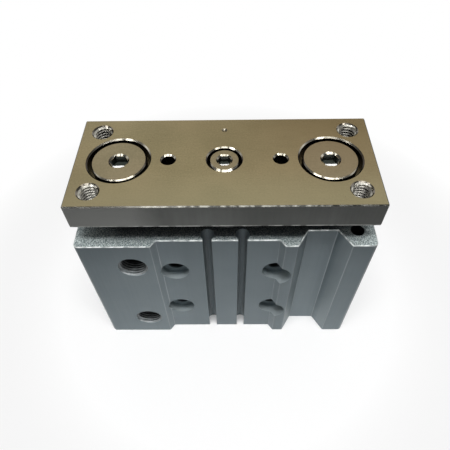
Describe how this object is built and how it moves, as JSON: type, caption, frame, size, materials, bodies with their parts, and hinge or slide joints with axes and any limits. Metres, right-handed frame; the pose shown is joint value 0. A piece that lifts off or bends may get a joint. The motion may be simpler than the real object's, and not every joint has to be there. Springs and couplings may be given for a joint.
{
  "type": "guided pneumatic cylinder",
  "caption": "Compact guided air cylinder: a slotted aluminium block whose piston rod and guide rods lift a flat rectangular tool plate.",
  "frame": {"origin": "centre of the housing's bottom face", "axes": "+Z along the stroke, towards the tool plate; -Y out of the face with the air ports and switch slots; +X along the housing's width, away from the ports"},
  "size_m": [0.093, 0.042, 0.0735],
  "materials": {
    "body_aluminium": "satin grey hard anodised, blasted end face",
    "nickel_plate": "satin nickel-plated rolled steel",
    "bolt_nickel": "nickel-plated steel, turned",
    "hard_chrome": "ground and hard chrome plated",
    "cover_aluminium": "turned, clear anodised",
    "piston_aluminium": "turned, chromated",
    "spring_steel": "phosphated spring steel",
    "plug_steel": "zinc-plated steel",
    "bush_bronze": "machined bearing bronze",
    "nitrile_rubber": "matt black nitrile",
    "bumper_rubber": "matt urethane",
    "felt": "oiled wool felt",
    "magnet_ferrite": "bonded ferrite"
  },
  "bodies": {
    "housing": {"cylinder_body": "body_aluminium", "head_cover": "cover_aluminium", "head_gasket": "nitrile_rubber", "head_retaining_ring": "spring_steel", "head_bumper": "bumper_rubber", "rod_cover": "cover_aluminium", "rod_cover_gasket": "nitrile_rubber", "rod_seal": "nitrile_rubber", "rod_bumper": "bumper_rubber", "rod_cover_retaining_ring": "spring_steel", "side_port_plugs": "plug_steel", "left_lower_bearing": "bush_bronze", "left_upper_bearing": "bush_bronze", "left_wiper_felt": "felt", "left_felt_holder": "bolt_nickel", "left_snap_ring": "spring_steel", "right_lower_bearing": "bush_bronze", "right_upper_bearing": "bush_bronze", "right_wiper_felt": "felt", "right_felt_holder": "bolt_nickel", "right_snap_ring": "spring_steel"},
    "carriage": {"tool_plate": "nickel_plate", "rod_bolt": "bolt_nickel", "piston_rod": "hard_chrome", "piston": "piston_aluminium", "piston_seal": "nitrile_rubber", "magnet_ring": "magnet_ferrite", "left_guide_rod": "hard_chrome", "right_guide_rod": "hard_chrome", "left_guide_bolt": "bolt_nickel", "right_guide_bolt": "bolt_nickel"}
  },
  "joints": [
    {"name": "plate_slide", "type": "slide", "parent": "housing", "child": "carriage", "axis": [0, 0, 1], "range_m": [0, 0.02]}
  ]
}
